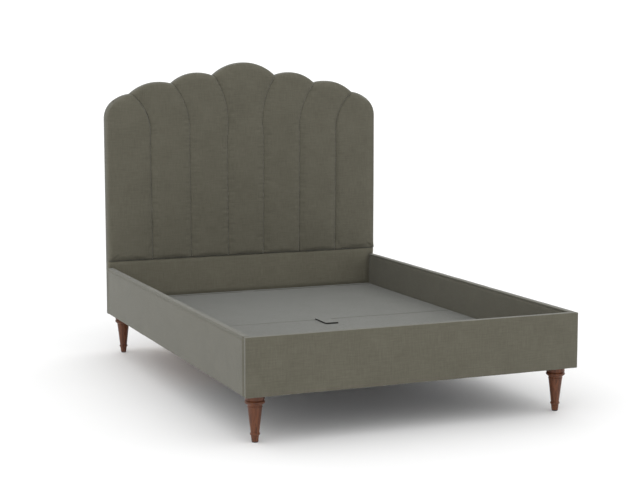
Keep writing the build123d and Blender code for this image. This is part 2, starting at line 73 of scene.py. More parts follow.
# ---- Node helpers ------------------------------------------------------------------------------
class Nodes:
    """Small wrapper that keeps material code short: add nodes, link sockets, do maths."""

    def __init__(self, name):
        self.material = bpy.data.materials.new(name)
        self.material.use_nodes = True
        self.tree = self.material.node_tree
        self.shader = self.tree.nodes["Principled BSDF"]

    def add(self, kind, inputs=None, **settings):
        node = self.tree.nodes.new(kind)
        for key, value in settings.items():
            setattr(node, key, value)
        for key, value in (inputs or {}).items():
            self.feed(node.inputs[key], value)
        return node

    def feed(self, socket, value):
        if isinstance(value, bpy.types.NodeSocket):
            self.tree.links.new(value, socket)
        else:
            socket.default_value = value

    def maths(self, operation, a, b=0.0):
        return self.add("ShaderNodeMath", {0: a, 1: b}, operation=operation).outputs[0]

    def mix(self, factor, a, b):
        node = self.add("ShaderNodeMix", data_type="RGBA")
        self.feed(node.inputs[0], factor)
        self.feed(node.inputs[6], a)
        self.feed(node.inputs[7], b)
        return node.outputs[2]

    def noise(self, vector, scale, detail=3.0, roughness=0.5):
        inputs = {"Vector": vector, "Scale": scale, "Detail": detail, "Roughness": roughness}
        return self.add("ShaderNodeTexNoise", inputs).outputs["Fac"]

    def stretched(self, vector, scales):
        inputs = {"Vector": vector, "Scale": scales}
        return self.add("ShaderNodeMapping", inputs).outputs[0]

    def ramp(self, value, low, high):
        inputs = {"Value": value}
        inputs.update({"From Min": low[0], "From Max": high[0], "To Min": low[1], "To Max": high[1]})
        return self.add("ShaderNodeMapRange", inputs).outputs[0]

    def bump(self, height, strength, distance):
        inputs = {"Height": height, "Strength": strength, "Distance": distance}
        return self.add("ShaderNodeBump", inputs).outputs[0]

    def surface(self, **sockets):
        for key, value in sockets.items():
            self.feed(self.shader.inputs[key.replace("_", " ")], value)


def surface_plane(nodes, plane):
    """Coordinates laid flat on one plane: x and y run along the cloth, whatever side it covers."""
    position = nodes.add("ShaderNodeTexCoord").outputs["Object"]
    split = nodes.add("ShaderNodeSeparateXYZ", {0: position})
    along, up = (split.outputs[axis] for axis in plane)
    return nodes.add("ShaderNodeCombineXYZ", {"X": along, "Y": up}).outputs[0]


# ---- Materials ---------------------------------------------------------------------------------
THREAD_PITCH = 1.15 * MM
THREAD_SHADOW = (0.02, 0.019, 0.016, 1)     # colour between the threads
SLUBS_ACROSS = (18, 180, 1)       # noise scales per metre: long one way, thin the other
SLUBS_UP = (200, 18, 1)
MOTTLE = 7.0
NAP = 900.0
SHEEN = 0.30
SHEEN_SPREAD = 0.42
SHEEN_TINT = (0.86, 0.90, 0.92, 1)
UPHOLSTERY_DARK = (0.096, 0.090, 0.066, 1)
UPHOLSTERY_LIGHT = (0.142, 0.134, 0.101, 1)
# Deck colours: painted sheen, a lighter and greyer copy of the upholstery cloth standing in for the sheen
# seen along the deck.
DECK_PAINTED_SHEEN_DARK = (0.122, 0.121, 0.105, 1)
DECK_PAINTED_SHEEN_LIGHT = (0.164, 0.163, 0.144, 1)
# Band colours: painted light, the upholstery cloth made lighter to make up for the shade that the rails
# cast on the band.
BAND_BRIGHTENED_DARK = (0.121, 0.113, 0.083, 1)
BAND_BRIGHTENED_LIGHT = (0.179, 0.169, 0.127, 1)
# Edge colours: painted shade, the upholstery cloth made darker on the headboard's edge.
EDGE_SHADED_DARK = (0.072, 0.0675, 0.0495, 1)
EDGE_SHADED_LIGHT = (0.1065, 0.1005, 0.076, 1)


def woven(name, plane, dark, light):
    """Plain linen-look weave: two sets of threads, slubs along both, and a soft uneven dye."""
    nodes = Nodes(name)
    flat = surface_plane(nodes, plane)
    split = nodes.add("ShaderNodeSeparateXYZ", {0: flat})
    turn = 2 * math.pi / THREAD_PITCH
    warp = nodes.maths("SINE", nodes.maths("MULTIPLY", split.outputs[0], turn))
    weft = nodes.maths("SINE", nodes.maths("MULTIPLY", split.outputs[1], turn))
    crossing = nodes.maths("MULTIPLY", warp, weft)
    slub_weft = nodes.noise(nodes.stretched(flat, SLUBS_ACROSS), 1.0, 4.0, 0.65)
    slub_warp = nodes.noise(nodes.stretched(flat, SLUBS_UP), 1.0, 4.0, 0.65)
    slubs = nodes.maths("MULTIPLY", nodes.maths("ADD", slub_weft, slub_warp), 0.5)
    mottle = nodes.noise(flat, MOTTLE, 4.0, 0.6)
    nap = nodes.noise(flat, NAP, 2.0, 0.6)
    streaks = nodes.ramp(slubs, (0.37, 0.0), (0.63, 0.64))
    clouds = nodes.ramp(mottle, (0.3, 0.0), (0.7, 0.32))
    shade = nodes.mix(nodes.maths("ADD", streaks, clouds), dark, light)
    threads = nodes.mix(nodes.ramp(crossing, (-1, 0.0), (1, 0.16)), shade, THREAD_SHADOW)
    height = nodes.maths("ADD", nodes.maths("MULTIPLY", crossing, 0.35), nodes.maths("ADD", slubs, nap))
    normal = nodes.bump(height, 0.35, 0.6 * MM)
    nodes.surface(
        Base_Color=threads,
        Roughness=nodes.ramp(slubs, (0.3, 0.82), (0.7, 0.95)),
        Normal=normal,
    )
    nodes.shader.inputs["Sheen Weight"].default_value = SHEEN
    nodes.shader.inputs["Sheen Roughness"].default_value = SHEEN_SPREAD
    nodes.shader.inputs["Sheen Tint"].default_value = SHEEN_TINT
    nodes.shader.inputs["Specular IOR Level"].default_value = 0.25
    return nodes.material


def lining(name):
    """Black non-woven lining: fine pressed fibres with an embossed dot grid."""
    nodes = Nodes(name)
    position = nodes.add("ShaderNodeTexCoord").outputs["Object"]
    fibres = nodes.noise(position, 700.0, 5.0, 0.7)
    dots = nodes.add("ShaderNodeTexVoronoi", {"Vector": position, "Scale": 260.0}).outputs["Distance"]
    height = nodes.maths("ADD", fibres, nodes.maths("MULTIPLY", dots, 0.6))
    nodes.surface(
        Base_Color=nodes.mix(fibres, (0.012, 0.012, 0.013, 1), (0.035, 0.035, 0.036, 1)),
        Roughness=0.9,
        Normal=nodes.bump(height, 0.4, 0.5 * MM),
    )
    return nodes.material


def timber(name, grain_axis, dark, light, rings, roughness, coat=0.0):
    """Sawn or turned wood: long streaks along the grain, growth bands and fine pores."""
    nodes = Nodes(name)
    position = nodes.add("ShaderNodeTexCoord").outputs["Object"]
    streak = [90.0, 90.0, 90.0]
    pores = [1500.0, 1500.0, 1500.0]
    streak["XYZ".index(grain_axis)] = 4.0
    pores["XYZ".index(grain_axis)] = 45.0
    warped = nodes.noise(nodes.stretched(position, streak), 1.0, 5.0, 0.6)
    bands = nodes.maths("SINE", nodes.maths("MULTIPLY", warped, rings))
    fine = nodes.noise(nodes.stretched(position, pores), 1.0, 3.0, 0.6)
    growth = nodes.ramp(bands, (-1, 0.1), (1, 0.55))
    tone = nodes.maths("ADD", growth, nodes.ramp(fine, (0.35, 0.0), (0.7, 0.4)))
    height = nodes.maths("ADD", fine, nodes.maths("MULTIPLY", bands, 0.2))
    nodes.surface(
        Base_Color=nodes.mix(tone, dark, light),
        Roughness=nodes.ramp(fine, (0.3, roughness + 0.12), (0.7, roughness)),
        Normal=nodes.bump(height, 0.25, 0.3 * MM),
    )
    nodes.shader.inputs["Coat Weight"].default_value = coat
    nodes.shader.inputs["Coat Roughness"].default_value = 0.28
    nodes.shader.inputs["Specular IOR Level"].default_value = 0.3
    return nodes.material


def zinc(name):
    """Zinc-plated pressed steel: faint brushing, cloudy spangle."""
    nodes = Nodes(name)
    position = nodes.add("ShaderNodeTexCoord").outputs["Object"]
    brushed = nodes.noise(nodes.stretched(position, (60, 2500, 2500)), 1.0, 3.0, 0.6)
    cloudy = nodes.noise(position, 120.0, 3.0, 0.5)
    nodes.surface(
        Base_Color=nodes.mix(cloudy, (0.42, 0.43, 0.44, 1), (0.66, 0.66, 0.65, 1)),
        Metallic=1.0,
        Roughness=nodes.ramp(brushed, (0.3, 0.28), (0.7, 0.48)),
        Normal=nodes.bump(brushed, 0.15, 0.1 * MM),
    )
    return nodes.material


def nylon(name, colour):
    """Moulded plastic with a fine spark-eroded texture."""
    nodes = Nodes(name)
    position = nodes.add("ShaderNodeTexCoord").outputs["Object"]
    grainy = nodes.noise(position, 1800.0, 3.0, 0.6)
    nodes.surface(
        Base_Color=nodes.mix(grainy, colour, tuple(min(1.0, c * 1.8) for c in colour[:3]) + (1,)),
        Roughness=nodes.ramp(grainy, (0.3, 0.45), (0.7, 0.62)),
        Normal=nodes.bump(grainy, 0.2, 0.1 * MM),
    )
    return nodes.material


WALNUT_DARK = (0.040, 0.0115, 0.0045, 1)
WALNUT_LIGHT = (0.176, 0.059, 0.024, 1)
PINE_DARK = (0.42, 0.27, 0.13, 1)
PINE_LIGHT = (0.66, 0.47, 0.27, 1)

FRONT_CLOTH = woven("cloth_front", "XZ", UPHOLSTERY_DARK, UPHOLSTERY_LIGHT)
SIDE_CLOTH = woven("cloth_side", "YZ", UPHOLSTERY_DARK, UPHOLSTERY_LIGHT)
# The deck cloth has painted sheen in its colours.
DECK_PAINTED_SHEEN_CLOTH = woven("cloth_deck_painted_sheen", "XY", DECK_PAINTED_SHEEN_DARK, DECK_PAINTED_SHEEN_LIGHT)
# The band cloth has painted light in its colours.
BAND_BRIGHTENED_CLOTH = woven("cloth_band_painted_light", "XZ", BAND_BRIGHTENED_DARK, BAND_BRIGHTENED_LIGHT)
# The edge cloth has painted shade in its colours.
EDGE_SHADED_CLOTH = woven("cloth_edge_painted_shade", "YZ", EDGE_SHADED_DARK, EDGE_SHADED_LIGHT)
LINING = lining("lining")
WALNUT = timber("walnut", "Z", WALNUT_DARK, WALNUT_LIGHT, 26.0, 0.36, coat=0.10)
PINE_X = timber("pine_x", "X", PINE_DARK, PINE_LIGHT, 18.0, 0.62)
PINE_Y = timber("pine_y", "Y", PINE_DARK, PINE_LIGHT, 18.0, 0.62)
PINE_Z = timber("pine_z", "Z", PINE_DARK, PINE_LIGHT, 18.0, 0.62)
BEECH = timber("beech", "Z", (0.34, 0.19, 0.10, 1), (0.52, 0.33, 0.19, 1), 14.0, 0.5)
PLYWOOD = timber("plywood", "X", (0.38, 0.26, 0.14, 1), (0.58, 0.43, 0.26, 1), 12.0, 0.6)
HARDBOARD = timber("hardboard", "Y", (0.10, 0.055, 0.03, 1), (0.19, 0.11, 0.065, 1), 6.0, 0.55)
ZINC = zinc("zinc")
NYLON = nylon("nylon", (0.02, 0.02, 0.02, 1))
# Near-black filler for the pull tab: painted shade under its raised cloth and in the seam.
TAB_PAINTED_SHADE = nylon("tab_painted_shade_core", (0.006, 0.006, 0.005, 1))


def node_material(name):
    """Material of a CAD node that stays as it is."""
    if name.startswith("leg_") and name.split("_")[1] in ("front", "rear"):
        return WALNUT
    if "glide" in name:
        return NYLON
    if name == "centre_leg":
        return BEECH
    if name.startswith("bay_floor"):
        return HARDBOARD
    if name.startswith("hinge") or "bolts" in name or "screws" in name or name == "leg_plates":
        return ZINC
    if name in ("headboard_panel", "lid_board", "deck_foot_board"):
        return PLYWOOD
    if name in ("dust_cloth", "headboard_back_cover"):
        return LINING
    if "post" in name or name.startswith("corner_block"):
        return PINE_Z
    if name.startswith("side_") or name.startswith("centre_beam"):
        return PINE_Y
    return PINE_X


for name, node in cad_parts.items():
    node.data.materials.clear()
    node.data.materials.append(node_material(name))


# ---- Mesh helpers ------------------------------------------------------------------------------
def new_piece(name, vertices, faces, material, body, slot_name, replaced=()):
    """Mesh object from points and faces, smooth shaded, riding on its body."""
    mesh = bpy.data.meshes.new(name)
    mesh.from_pydata([tuple(v) for v in vertices], [], faces)
    mesh.validate()
    built = bmesh.new()
    built.from_mesh(mesh)
    bmesh.ops.remove_doubles(built, verts=built.verts, dist=1e-6)
    bmesh.ops.recalc_face_normals(built, faces=built.faces)
    built.to_mesh(mesh)
    built.free()
    mesh.polygons.foreach_set("use_smooth", [True] * len(mesh.polygons))
    mesh.materials.append(material)
    piece = bpy.data.objects.new(name, mesh)
    bpy.context.scene.collection.objects.link(piece)
    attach(piece, body)
    if replaced:
        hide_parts(*replaced)
    return piece


def grid_faces(rows, columns, start=0, wrap=False):
    """Quads of a grid whose points are stored row by row."""
    faces = []
    for row in range(rows - 1):
        for column in range(columns if wrap else columns - 1):
            after = (column + 1) % columns
            low, high = start + row * columns, start + (row + 1) * columns
            faces.append((low + column, low + after, high + after, high + column))
    return faces


def shell(name, outer, inner, rows, columns, *rest):
    """Closed piece between two grids of points: the outer face, the inner face and the rim."""
    count = rows * columns
    faces = grid_faces(rows, columns) + [f[::-1] for f in grid_faces(rows, columns, count)]
    rim = list(range(columns))
    rim += [row * columns + columns - 1 for row in range(1, rows)]
    rim += [count - 2 - k for k in range(columns - 1)]
    rim += [row * columns for row in range(rows - 2, 0, -1)]
    for a, b in zip(rim, rim[1:] + rim[:1]):
        faces.append((a, b, b + count, a + count))
    return new_piece(name, np.concatenate([outer, inner]), faces, *rest), rim


SETTLE_FRAMES = 20
SETTLE_PRESSURE = 4.0
SETTLE_CAP = 3 * MM
SETTLE_SLACK = -0.008             # cloth cut this share larger than the shape that it starts from


def settle(piece, sewn):
    """Let a cover swell like cloth over its stuffing while its sewn points stay put.

    The shape it reaches is kept in the mesh, and no point moves further than the cap.
    """
    mesh = piece.data
    before = np.empty(len(mesh.vertices) * 3)
    mesh.vertices.foreach_get("co", before)
    group = piece.vertex_groups.new(name="sewn")
    group.add([int(k) for k in sewn], 1.0, "REPLACE")
    cloth = piece.modifiers.new("cloth", "CLOTH")
    cloth.settings.quality = 6
    cloth.settings.vertex_group_mass = group.name
    cloth.settings.use_pressure = True
    cloth.settings.uniform_pressure_force = SETTLE_PRESSURE
    cloth.settings.effector_weights.gravity = 0
    cloth.settings.shrink_min = SETTLE_SLACK
    cloth.point_cache.frame_start = 1
    cloth.point_cache.frame_end = SETTLE_FRAMES
    scene = bpy.context.scene
    for step in range(1, SETTLE_FRAMES + 1):
        scene.frame_set(step)
    settled = piece.evaluated_get(bpy.context.evaluated_depsgraph_get()).data
    after = np.empty(len(before))
    settled.vertices.foreach_get("co", after)
    move = (after - before).reshape(-1, 3)
    length = np.linalg.norm(move, axis=1)
    move *= np.minimum(1.0, SETTLE_CAP / np.maximum(length, 1e-9))[:, None]
    mesh.vertices.foreach_set("co", before + move.ravel())
    piece.modifiers.remove(cloth)
    piece.vertex_groups.remove(group)
    scene.frame_set(1)
    mesh.update()


def steps(low, high, pitch, edge, edge_pitch=0.0015):
    """Positions from low to high: close together within edge of both ends, pitch apart between."""
    ends = np.arange(0.0, edge, edge_pitch)
    middle = np.linspace(low + edge, high - edge, max(2, int((high - low - 2 * edge) / pitch) + 1))
    return np.concatenate([low + ends, middle, high - ends[::-1]])


def box_shell(xs, ys, zs):
    """Points and quads of a box's six faces on a grid of positions."""
    index, vertices, faces = {}, [], []
    counts = (len(xs), len(ys), len(zs))

    def corner(i, j, k):
        if (i, j, k) not in index:
            index[i, j, k] = len(vertices)
            vertices.append((xs[i], ys[j], zs[k]))
        return index[i, j, k]

    for axis in range(3):
        others = [a for a in range(3) if a != axis]
        for side in (0, counts[axis] - 1):
            for u in range(counts[others[0]] - 1):
                for v in range(counts[others[1]] - 1):
                    quad = []
                    for du, dv in ((0, 0), (1, 0), (1, 1), (0, 1)):
                        place = [0, 0, 0]
                        place[axis] = side
                        place[others[0]] = u + du
                        place[others[1]] = v + dv
                        quad.append(corner(*place))
                    faces.append(quad)
    return np.array(vertices), faces


def rounded(points, low, high, radius):
    """Box-shell points pulled in so that every edge and corner has this radius."""
    inner = np.clip(points, np.array(low) + radius, np.array(high) - radius)
    out = points - inner
    length = np.linalg.norm(out, axis=1)
    length[length == 0] = 1.0
    normal = out / length[:, None]
    return inner + normal * radius, normal


def ripple(point, scale, seed=0.0):
    """Smooth noise at a point, from about -1 to 1."""
    return noise.noise(Vector((point[0] * scale + seed, point[1] * scale, point[2] * scale)))


CREASE_SAMPLES = np.linspace(-2.5, 2.5, 15)        # grid lines across a crease, in its widths


def soft_box(
    name, low, high, radius, puff, material, body, slot_name, replaced=(), pitch=0.014, tucks=(), cuts=(),
):
    """Padded box: rounded edges, faces a little uneven, and creases pressed into it.

    A crease is (axis, position, depth, width, facing): it runs where the coordinate on that axis is
    near the position, on the faces that look along the facing axis. A cut is (axis, position) of a
    line of points, for trimming the mesh afterwards.
    """
    axes = [steps(a, b, pitch, min(radius * 1.5, (b - a) * 0.3)) for a, b in zip(low, high)]
    for axis, place, _, width, _ in tucks:
        near = place + CREASE_SAMPLES * width
        near = near[(near > low[axis]) & (near < high[axis])]
        axes[axis] = np.unique(np.concatenate([axes[axis], near]))
    for axis, place in cuts:
        axes[axis] = np.sort(np.append(axes[axis], place))
    points, faces = box_shell(*axes)
    points, normals = rounded(points, low, high, radius)
    lift = np.array([ripple(p, 9.0) + 0.5 * ripple(p, 31.0, 3.0) for p in points]) * puff - puff * 0.5
    for axis, place, depth, width, facing in tucks:
        lift -= depth * np.exp(-(((points[:, axis] - place) / width) ** 2)) * np.abs(normals[:, facing])
    return new_piece(name, points + normals * lift[:, None], faces, material, body, slot_name, replaced)


# ---- Headboard shape, read from the frame --------------------------------------------------------
HEAD_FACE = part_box("side_rail_left_cover")[1].y        # plane where the rails end
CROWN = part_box("headboard_channel_4")[0].y             # front of the channels
PANEL_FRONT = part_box("headboard_channel_4")[1].y       # plywood behind the padding
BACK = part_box("headboard_back_cover")[1].y
BAND_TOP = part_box("headboard_channel_4")[0].z          # seam between the band and the channels
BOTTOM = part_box("headboard_lower_pad")[0].z
HALF_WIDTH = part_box("headboard_side_cover")[1].x
APEX_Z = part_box("headboard_channel_4")[1].z

# The right half's outline and seams, as the CAD has them: distance from the middle, height.
VALLEYS = [Vector((0.166, 1.358)), Vector((0.381, 1.320)), Vector((0.592, 1.271))]
CRESTS = [Vector((0.247, 1.373)), Vector((0.455, 1.328))]
SHOULDER_CREST = Vector((0.638, 1.259))
SHOULDER_CORNER = Vector((0.678, 1.236))
SIDE_START = Vector((HALF_WIDTH, 1.150))
SEAM_FEET = [0.094, 0.291, 0.493]
SEAM_BENDS = [Vector((0.116, 1.262)), Vector((0.327, 1.238)), Vector((0.529, 1.200))]
SEAM_LEAN = 0.004                 # a seam leans out by this up to where it starts to bend
SEAM_STRAIGHT_TOP = 1.050
ARC_POINTS = 60
SHORT_ARC_POINTS = 30
SIDE_POINTS = 80


def arc_through(a, b, c, count):
    """Points of the circle arc from a through b to c."""
    d = 2 * (a.x * (b.y - c.y) + b.x * (c.y - a.y) + c.x * (a.y - b.y))
    aa, bb, cc = a.length_squared, b.length_squared, c.length_squared
    centre = Vector((
        (aa * (b.y - c.y) + bb * (c.y - a.y) + cc * (a.y - b.y)) / d,
        (aa * (c.x - b.x) + bb * (a.x - c.x) + cc * (b.x - a.x)) / d,
    ))
    radius = (a - centre).length
    start, mid, end = (math.atan2(p.y - centre.y, p.x - centre.x) for p in (a, b, c))
    full = 2 * math.pi
    sweep = (end - start) % full
    if (mid - start) % full > sweep:
        sweep -= full
    angles = start + sweep * np.linspace(0, 1, count)
    return np.stack([centre.x + radius * np.cos(angles), centre.y + radius * np.sin(angles)], 1)


def tangent_arc(start, end, count):
    """Arc that leaves start straight up and reaches end."""
    dx, dz = start.x - end.x, end.y - start.y
    radius = (dx * dx + dz * dz) / (2 * dx)
    sweep = math.asin(min(1.0, dz / radius))
    angles = np.linspace(0, sweep, count)
    return np.stack([start.x - radius + radius * np.cos(angles), start.y + radius * np.sin(angles)], 1)


def straight(a, b, count):
    """Evenly spaced points from a to b."""
    t = np.linspace(0, 1, count)[:, None]
    return np.array(a)[None, :] * (1 - t) + np.array(b)[None, :] * t


def joined(*pieces):
    """One line from lines that each start where the one before ends."""
    return np.concatenate([pieces[0]] + [p[1:] for p in pieces[1:]])


def mirrored(points):
    """The same line in the left half."""
    return points * np.array([-1.0, 1.0])


def resampled(points, count):
    """The same line with count points, evenly spaced along it."""
    gaps = np.linalg.norm(np.diff(points, axis=0), axis=1)
    along = np.concatenate([[0.0], np.cumsum(gaps)])
    at = np.linspace(0.0, along[-1], count)
    return np.stack([np.interp(at, along, points[:, k]) for k in range(2)], 1)


def seam(index):
    """Seam of the right half, from the band up to its valley."""
    foot = (SEAM_FEET[index], BAND_TOP)
    lean = Vector((SEAM_FEET[index] + SEAM_LEAN, SEAM_STRAIGHT_TOP))
    bend = arc_through(lean, SEAM_BENDS[index], VALLEYS[index], ARC_POINTS)
    return joined(straight(foot, lean, ARC_POINTS), bend)


def outer_side():
    """Right edge of the headboard, from the band up to the shoulder's corner."""
    side = straight((HALF_WIDTH, BAND_TOP), SIDE_START, SIDE_POINTS)
    return joined(side, tangent_arc(SIDE_START, SHOULDER_CORNER, SHORT_ARC_POINTS))


def top_edge(index):
    """Top edge of a channel of the right half, from its inner seam outwards."""
    if index == 0:
        start = Vector((-VALLEYS[0].x, VALLEYS[0].y))
        return arc_through(start, Vector((0, APEX_Z)), VALLEYS[0], ARC_POINTS)
    if index == 3:
        return arc_through(VALLEYS[2], SHOULDER_CREST, SHOULDER_CORNER, SHORT_ARC_POINTS)
    return arc_through(VALLEYS[index - 1], CRESTS[index - 1], VALLEYS[index], ARC_POINTS)


# ---- Channels ------------------------------------------------------------------------------------
ACROSS, ALONG = 45, 161
START_BEHIND = 3 * MM             # the face starts this far behind its crown, then swells
SEAM_GROOVE = 3.6 * MM            # depth and reach of the fold at a seam
SEAM_FOLD = 10 * MM
SEAM_CROWN = 4.0 * MM             # depth and reach of the slow swelling beside it
SEAM_ROLL = 85 * MM
FOOT_GROOVE = 9 * MM              # depth and reach of the roll at a channel's foot
FOOT_ROLL = 20 * MM
TOP_ROLL = 24 * MM
SIDE_ROLL = 9 * MM
SEAM_OPENING = 0.1 * MM           # between two channels
PUCKER_REACH = 16 * MM            # puckers fade in and out beside a seam over these distances
PUCKER_START = 4 * MM
PUCKER = 0.9 * MM
UNEVEN = 1.2 * MM                 # stuffing that lies a little unevenly
BACK_ROOM = 0.5 * MM              # least padding left in front of the plywood


def roll(distance, reach, depth):
    """Setback of a padded surface at a distance from its edge: a quarter ellipse."""
    t = np.clip(distance / reach, 0.0, 1.0)
    return depth * (1.0 - np.sqrt(np.clip(1.0 - (1.0 - t) ** 2, 0.0, 1.0)))


def fold(distance):
    """Setback beside a sewn seam: a narrow fold in a slow swelling."""
    near = 1.0 - np.clip(distance / SEAM_FOLD, 0.0, 1.0)
    far = 1.0 - np.clip(distance / SEAM_ROLL, 0.0, 1.0)
    return SEAM_GROOVE * near ** 2 + SEAM_CROWN * far ** 2


def patch(left, right, bottom, top):
    """Grid of points between four edges that share their corners."""
    rows, columns = len(left), len(bottom)
    t = np.linspace(0, 1, rows)[:, None, None]
    s = np.linspace(0, 1, columns)[None, :, None]
    sides = left[:, None, :] * (1 - s) + right[:, None, :] * s
    ends = bottom[None, :, :] * (1 - t) + top[None, :, :] * t
    corners = (
        bottom[0] * (1 - s) * (1 - t) + bottom[-1] * s * (1 - t) + top[0] * (1 - s) * t + top[-1] * s * t
    )
    return sides + ends - corners


def edge_distance(points, edge):
    """Distance of every grid point from a line of edge points."""
    flat = points.reshape(-1, 2)
    best = np.full(len(flat), 1e9)
    for a, b in zip(edge[:-1], edge[1:]):
        ab = b - a
        t = np.clip(((flat - a) @ ab) / max(ab @ ab, 1e-12), 0, 1)
        best = np.minimum(best, np.linalg.norm(flat - a - t[:, None] * ab, axis=1))
    return best.reshape(points.shape[:2])


def swollen(points, seams, top, side, foot, seed):
    """Setback of a channel's face: folds at its seams, rolls at its other edges, slight puckers."""
    rolls = [fold(edge_distance(points, line)) for line in seams]
    rolls.append(roll(edge_distance(points, top), TOP_ROLL, PANEL_FRONT - CROWN))
    if side is not None:
        rolls.append(roll(edge_distance(points, side), SIDE_ROLL, PANEL_FRONT - CROWN))
    rolls.append(roll(edge_distance(points, foot), FOOT_ROLL, FOOT_GROOVE))
    setback = sum(r ** 2 for r in rolls) ** 0.5
    near = np.zeros(points.shape[:2])
    for line in seams:
        d = edge_distance(points, line)
        near = np.maximum(near, np.exp(-d / PUCKER_REACH) * np.clip(d / PUCKER_START, 0, 1))
    pucker = np.zeros(points.shape[:2])
    for place in np.ndindex(pucker.shape):
        x, z = points[place]
        pucker[place] = noise.noise(Vector((x * 12, z * 55, seed))) * near[place] * PUCKER
        pucker[place] += noise.noise(Vector((x * 5, z * 4, seed + 9))) * UNEVEN
    return setback + pucker


def channel(number, left, right, bottom, top, seams, side):
    """One stuffed flute: its swollen face and a flat back against the plywood."""
    sides = [resampled(line, ALONG) for line in (left, right)]
    ends = [resampled(line, ACROSS) for line in (bottom, top)]
    points = patch(*sides, *ends)
    setback = swollen(points, seams, top, side, bottom, number * 3.7)
    depth = np.minimum(CROWN + START_BEHIND + setback, PANEL_FRONT - BACK_ROOM)
    centre = points.mean(axis=(0, 1))
    inset = points + np.sign(centre - points) * SEAM_OPENING * 0.5
    face = np.stack([inset[..., 0], depth, inset[..., 1]], -1).reshape(-1, 3)
    back = face.copy()
    back[:, 1] = PANEL_FRONT
    piece, rim = shell(
        f"channel_{number}", face, back, ALONG, ACROSS, FRONT_CLOTH,
        "frame", "upholstery", (f"headboard_channel_{number}",),
    )
    settle(piece, rim + list(range(ALONG * ACROSS, 2 * ALONG * ACROSS)))


def make_channels():
    """Seven channels: the middle one, then pairs outwards."""
    inner = seam(0)
    foot = straight((-SEAM_FEET[0], BAND_TOP), (SEAM_FEET[0], BAND_TOP), ACROSS)
    channel(4, mirrored(inner), inner, foot, top_edge(0), [mirrored(inner), inner], None)
    for index in (1, 2, 3):
        inner = seam(index - 1)
        outer = seam(index) if index < 3 else outer_side()
        foot = straight(inner[0], outer[0], ACROSS)
        top = top_edge(index)
        seams = [inner, outer] if index < 3 else [inner]
        side = None if index < 3 else outer
        channel(4 + index, inner, outer, foot, top, seams, side)
        seams = [mirrored(line) for line in seams]
        side = None if side is None else mirrored(side)
        ends = [mirrored(line)[::-1] for line in (foot, top)]
        channel(4 - index, mirrored(outer), mirrored(inner), *ends, seams, side)


make_channels()


# ---- Plain band under the channels -----------------------------------------------------------------
BAND_SIDE_ROLL = 14 * MM          # how far the band's edges take to reach full thickness
BAND_TOP_ROLL = 20 * MM
BAND_RAIL_GAP = 2 * MM
BAND_DECK_RISE = 10 * MM
BAND_CLEAR = 1 * MM
BAND_WAVE = 0.9 * MM
RAIL_TOP_RISE = 16 * MM


def quarter_round(share):
    """Height of a rounded edge, from 0 to 1, at a share of its width."""
    return math.sqrt(max(0.0, 1 - (1 - min(1.0, share)) ** 2))


def unit(value):
    """The value held between 0 and 1."""
    return min(1.0, max(0.0, value))


def make_lower_pad():
    """Band whose face swells between the rails and above the deck, and lies flat behind them."""
    low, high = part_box("headboard_lower_pad")
    inner_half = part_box("side_rail_right_cover")[0].x
    rail_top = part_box("side_rail_right_cover")[1].z
    xs = np.concatenate([
        np.linspace(-HALF_WIDTH, -inner_half, 16)[:-1],
        np.linspace(-inner_half, inner_half, 111),
        np.linspace(inner_half, HALF_WIDTH, 16)[1:],
    ])
    zs = np.concatenate([np.linspace(low.z, rail_top, 26)[:-1], np.linspace(rail_top, high.z, 17)])
    deck_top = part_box("lid_cover")[1].z
    rows = []
    for z in zs:
        for x in xs:
            inside = unit((inner_half - BAND_RAIL_GAP - abs(x)) / BAND_SIDE_ROLL)
            above = unit((z - deck_top - BAND_CLEAR) / BAND_DECK_RISE)
            over_rail = 0.0 if z < rail_top + BAND_CLEAR else unit((z - rail_top) / RAIL_TOP_RISE)
            lift = (HEAD_FACE - low.y) * max(inside * above, over_rail * above * 0.6)
            lift *= quarter_round((high.z - z) / BAND_TOP_ROLL)
            side = quarter_round((HALF_WIDTH - abs(x)) / BAND_SIDE_ROLL)
            edge = (PANEL_FRONT - HEAD_FACE) * (1 - side)
            wave = noise.noise(Vector((x * 6, z * 9, 2.0))) * BAND_WAVE * inside * above
            rows.append((x, HEAD_FACE + edge - lift + wave, z))
    face = np.array(rows)
    back = face.copy()
    back[:, 1] = PANEL_FRONT
    # The band's cloth is painted lighter: painted light against the shade of the rails.
    pad, _ = shell(
        "lower_pad", face, back, len(zs), len(xs), BAND_BRIGHTENED_CLOTH, "frame", "upholstery",
        ("headboard_lower_pad",),
    )


make_lower_pad()


# ---- Cloth round the edge of the headboard -----------------------------------------------------------
def headboard_edge():
    """Whole outline, anticlockwise seen from the foot end, starting at the bottom left."""
    scallops = [top_edge(index)[::-1] for index in (3, 2, 1)]
    right = joined(straight((HALF_WIDTH, BOTTOM), (HALF_WIDTH, BAND_TOP), 12), outer_side(), *scallops)
    left = mirrored(right)[::-1]
    floor = straight((-HALF_WIDTH, BOTTOM), (HALF_WIDTH, BOTTOM), 60)
    return joined(floor, right, top_edge(0)[::-1], left)[:-1]


def inward(points):
    """Unit vectors that point into the outline at each of its points."""
    ahead = np.roll(points, -1, axis=0) - np.roll(points, 1, axis=0)
    ahead /= np.linalg.norm(ahead, axis=1)[:, None]
    return np.stack([-ahead[:, 1], ahead[:, 0]], 1)


# Closed section of the wrap in mm: inset from the outline, distance behind the plywood's front.
# It runs round the edge, onto the timber at the back, and home along the inside.
SIDE_PROFILE = [
    (6.0, 0.0), (1.2, 0.4), (0.3, 2.0), (0.2, 8.0), (0.2, 16.0), (0.3, 22.0), (0.9, 26.0), (2.2, 29.0),
    (4.4, 31.2), (7.4, 32.4), (16.0, 32.6), (26.0, 32.4), (30.0, 32.1), (30.4, 31.4), (6.0, 31.0),
    (6.0, 0.0),
]
SIDE_WAVE = 0.3 * MM


